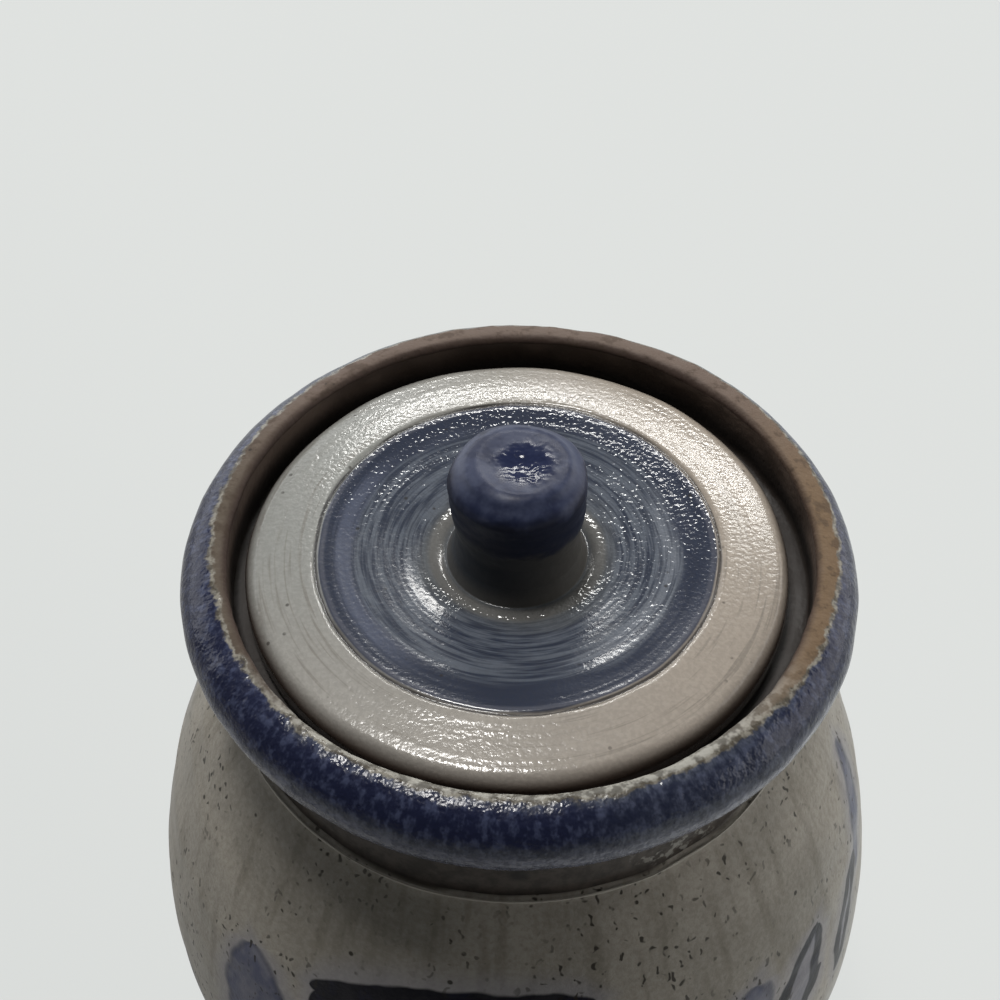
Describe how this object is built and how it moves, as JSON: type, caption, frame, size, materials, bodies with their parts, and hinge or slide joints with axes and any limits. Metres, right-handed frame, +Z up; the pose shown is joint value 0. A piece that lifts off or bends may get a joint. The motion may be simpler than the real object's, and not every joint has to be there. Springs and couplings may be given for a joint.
{
  "type": "lidded stoneware spice jar",
  "caption": "Round-bellied grey and blue salt-glazed stoneware spice jar with a thick rounded collar and a loose inset lid with a stubby knob.",
  "frame": {"origin": "centre of the foot, on the surface that the jar stands on", "axes": "+Z up along the axis of the jar and the lid"},
  "size_m": [0.1, 0.1, 0.13],
  "materials": {
    "jar_stoneware": "grey salt glaze with cobalt brushwork and a blue collar",
    "lid_stoneware": "grey salt glaze with a cobalt band and a blue knob"
  },
  "bodies": {
    "root": {"jar": "jar_stoneware", "lid": "lid_stoneware"}
  },
  "joints": []
}
